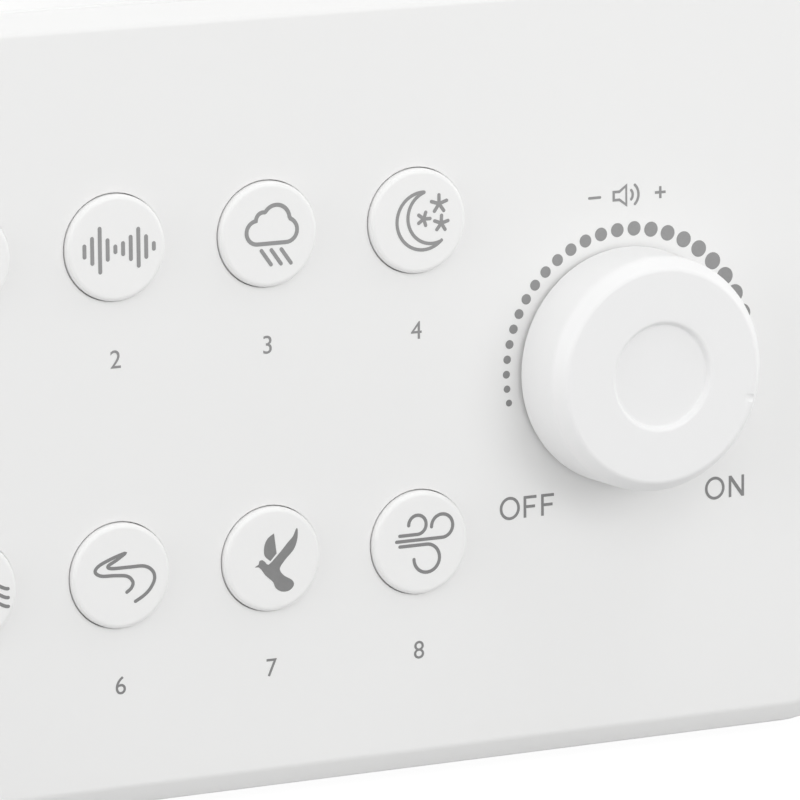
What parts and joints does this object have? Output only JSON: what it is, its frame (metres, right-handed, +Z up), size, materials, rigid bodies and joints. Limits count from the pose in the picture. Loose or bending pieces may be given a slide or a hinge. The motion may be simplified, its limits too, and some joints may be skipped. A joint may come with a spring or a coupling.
{
  "type": "white noise sound machine",
  "caption": "Tabletop sound machine: bevelled white front with round push buttons and a volume knob, speaker grille on top, sockets at the back.",
  "frame": {"origin": "on the table, under the middle of the whole object's box", "axes": "+Z up, the front with the buttons faces -Y, +X to the right seen from the front"},
  "size_m": [0.15, 0.0717, 0.0978],
  "materials": {
    "panel_white": "fine satin moulded ABS, front",
    "shell_white": "fine satin moulded ABS, housing",
    "button_white": "satin gloss",
    "knob_white": "smooth satin",
    "rubber_grey": "soft matt rubber",
    "black_plastic": "matt",
    "ivory_plastic": "semi-matt",
    "board_green": "solder mask",
    "terminal_board": "paper laminate",
    "steel": "zinc plated",
    "brass": "plain",
    "copper_coil": "enamelled wire",
    "ferrite": "sintered ferrite",
    "can_blue": "shrink sleeve",
    "cloth_dark": "open acoustic weave",
    "foam_dark": "closed-cell foam",
    "surround_rubber": "matt",
    "paper_black": "treated paper",
    "wire_red": "wire sleeve",
    "wire_black": "wire sleeve"
  },
  "bodies": {
    "housing": {"front_panel": "panel_white", "rear_shell": "shell_white", "speaker_grille": "shell_white", "power_inlet": "black_plastic", "power_inlet_pin": "brass", "headphone_socket": "black_plastic", "case_screws": "steel", "foot_front_left": "rubber_grey", "foot_front_right": "rubber_grey", "foot_back_left": "rubber_grey", "foot_back_right": "rubber_grey", "volume_body": "steel", "volume_bushing": "brass", "volume_washer": "steel", "volume_nut": "steel", "volume_terminals": "steel", "control_board": "board_green", "tact_switches": "steel", "board_screws": "steel", "sound_chip": "black_plastic", "amplifier_chip": "black_plastic", "capacitors": "can_blue", "wire_headers": "ivory_plastic", "acoustic_cloth": "cloth_dark", "speaker_gasket": "foam_dark", "speaker_frame": "steel", "speaker_surround": "surround_rubber", "speaker_cone": "paper_black", "speaker_dust_cap": "paper_black", "voice_coil": "copper_coil", "speaker_magnet": "ferrite", "speaker_pole_plates": "steel", "speaker_terminals": "terminal_board", "speaker_clamps": "steel", "speaker_screws": "steel", "jack_board": "board_green", "jack_board_screws": "steel", "speaker_lead_red": "wire_red", "speaker_lead_black": "wire_black", "power_cable": "wire_black"},
    "knob": {"volume_knob": "knob_white", "volume_shaft": "steel"},
    "button_music": {"button_music": "button_white", "plunger_music": "black_plastic"},
    "button_white_noise": {"button_white_noise": "button_white", "plunger_white_noise": "black_plastic"},
    "button_rain": {"button_rain": "button_white", "plunger_rain": "black_plastic"},
    "button_night": {"button_night": "button_white", "plunger_night": "black_plastic"},
    "button_waves": {"button_waves": "button_white", "plunger_waves": "black_plastic"},
    "button_stream": {"button_stream": "button_white", "plunger_stream": "black_plastic"},
    "button_birds": {"button_birds": "button_white", "plunger_birds": "black_plastic"},
    "button_wind": {"button_wind": "button_white", "plunger_wind": "black_plastic"}
  },
  "joints": [
    {"name": "volume_turn", "type": "hinge", "parent": "housing", "child": "knob", "pos_m": [0.0398, -0.02615, 0.0491], "axis": [0, -1, 0], "range_deg": [-28, 242]},
    {"name": "press_music", "type": "slide", "parent": "housing", "child": "button_music", "axis": [0, 1, 0], "range_m": [0, 0.0009], "stiffness_N_per_m": 1000},
    {"name": "press_white_noise", "type": "slide", "parent": "housing", "child": "button_white_noise", "axis": [0, 1, 0], "range_m": [0, 0.0009], "stiffness_N_per_m": 1000},
    {"name": "press_rain", "type": "slide", "parent": "housing", "child": "button_rain", "axis": [0, 1, 0], "range_m": [0, 0.0009], "stiffness_N_per_m": 1000},
    {"name": "press_night", "type": "slide", "parent": "housing", "child": "button_night", "axis": [0, 1, 0], "range_m": [0, 0.0009], "stiffness_N_per_m": 1000},
    {"name": "press_waves", "type": "slide", "parent": "housing", "child": "button_waves", "axis": [0, 1, 0], "range_m": [0, 0.0009], "stiffness_N_per_m": 1000},
    {"name": "press_stream", "type": "slide", "parent": "housing", "child": "button_stream", "axis": [0, 1, 0], "range_m": [0, 0.0009], "stiffness_N_per_m": 1000},
    {"name": "press_birds", "type": "slide", "parent": "housing", "child": "button_birds", "axis": [0, 1, 0], "range_m": [0, 0.0009], "stiffness_N_per_m": 1000},
    {"name": "press_wind", "type": "slide", "parent": "housing", "child": "button_wind", "axis": [0, 1, 0], "range_m": [0, 0.0009], "stiffness_N_per_m": 1000}
  ]
}
